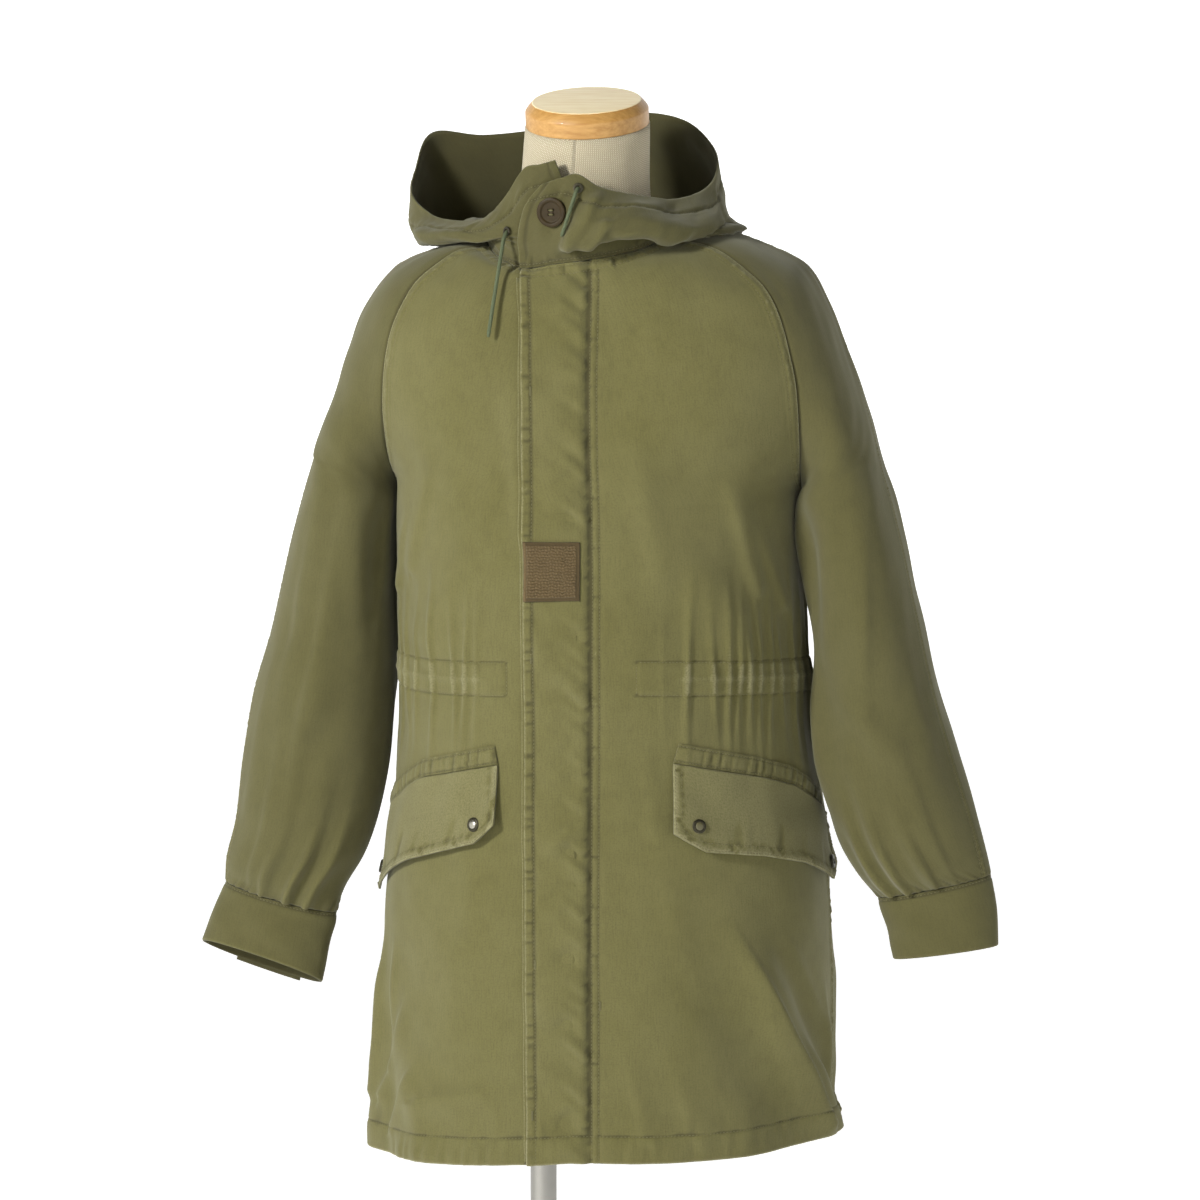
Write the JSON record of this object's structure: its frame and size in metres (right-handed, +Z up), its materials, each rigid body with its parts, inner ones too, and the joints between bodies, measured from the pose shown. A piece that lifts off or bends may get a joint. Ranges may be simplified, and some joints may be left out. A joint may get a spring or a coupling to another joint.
{
  "type": "hooded field jacket on a dress form",
  "caption": "Thigh-length hooded field jacket with raglan sleeves, drawn-in waist, flap pockets and a fly front, buttoned at the throat and standing on a limbless dress form.",
  "frame": {"origin": "centre of the base's underside, on the floor, under the pole", "axes": "+Z up; -Y the front of the jacket; +X the wearer's left"},
  "size_m": [0.7529, 0.36, 1.5074],
  "materials": {
    "olive_cotton": "washed cotton twill, matt",
    "loop_pile": "dense loop pile, matt",
    "dark_button": "dark brown, soft gloss",
    "snap_steel": "worn metal cap, satin",
    "snap_dark": "dark painted ring, satin",
    "cord": "braided cord, matt",
    "linen": "plain linen cover, matt",
    "cap_wood": "turned and lacquered, soft gloss",
    "pole_chrome": "polished tube",
    "base_paint": "painted disc, satin"
  },
  "bodies": {
    "root": {"front_left": "olive_cotton", "front_right": "olive_cotton", "back": "olive_cotton", "under_fly": "olive_cotton", "sleeve_front_left": "olive_cotton", "sleeve_back_left": "olive_cotton", "cuff_left": "olive_cotton", "cuff_end_left": "olive_cotton", "sleeve_front_right": "olive_cotton", "sleeve_back_right": "olive_cotton", "cuff_right": "olive_cotton", "cuff_end_right": "olive_cotton", "hood_left": "olive_cotton", "hood_right": "olive_cotton", "pocket_band_left": "olive_cotton", "pocket_flap_left": "olive_cotton", "pocket_band_right": "olive_cotton", "pocket_flap_right": "olive_cotton", "loop_patch": "loop_pile", "throat_button": "dark_button", "snap_left_front": "snap_steel", "snap_right_front": "snap_steel", "snap_left_side": "snap_dark", "snap_right_side": "snap_dark", "drawcord_right": "cord", "drawcord_left": "cord", "form_torso": "linen", "form_cap": "cap_wood", "form_pole": "pole_chrome", "form_base": "base_paint"}
  },
  "joints": []
}
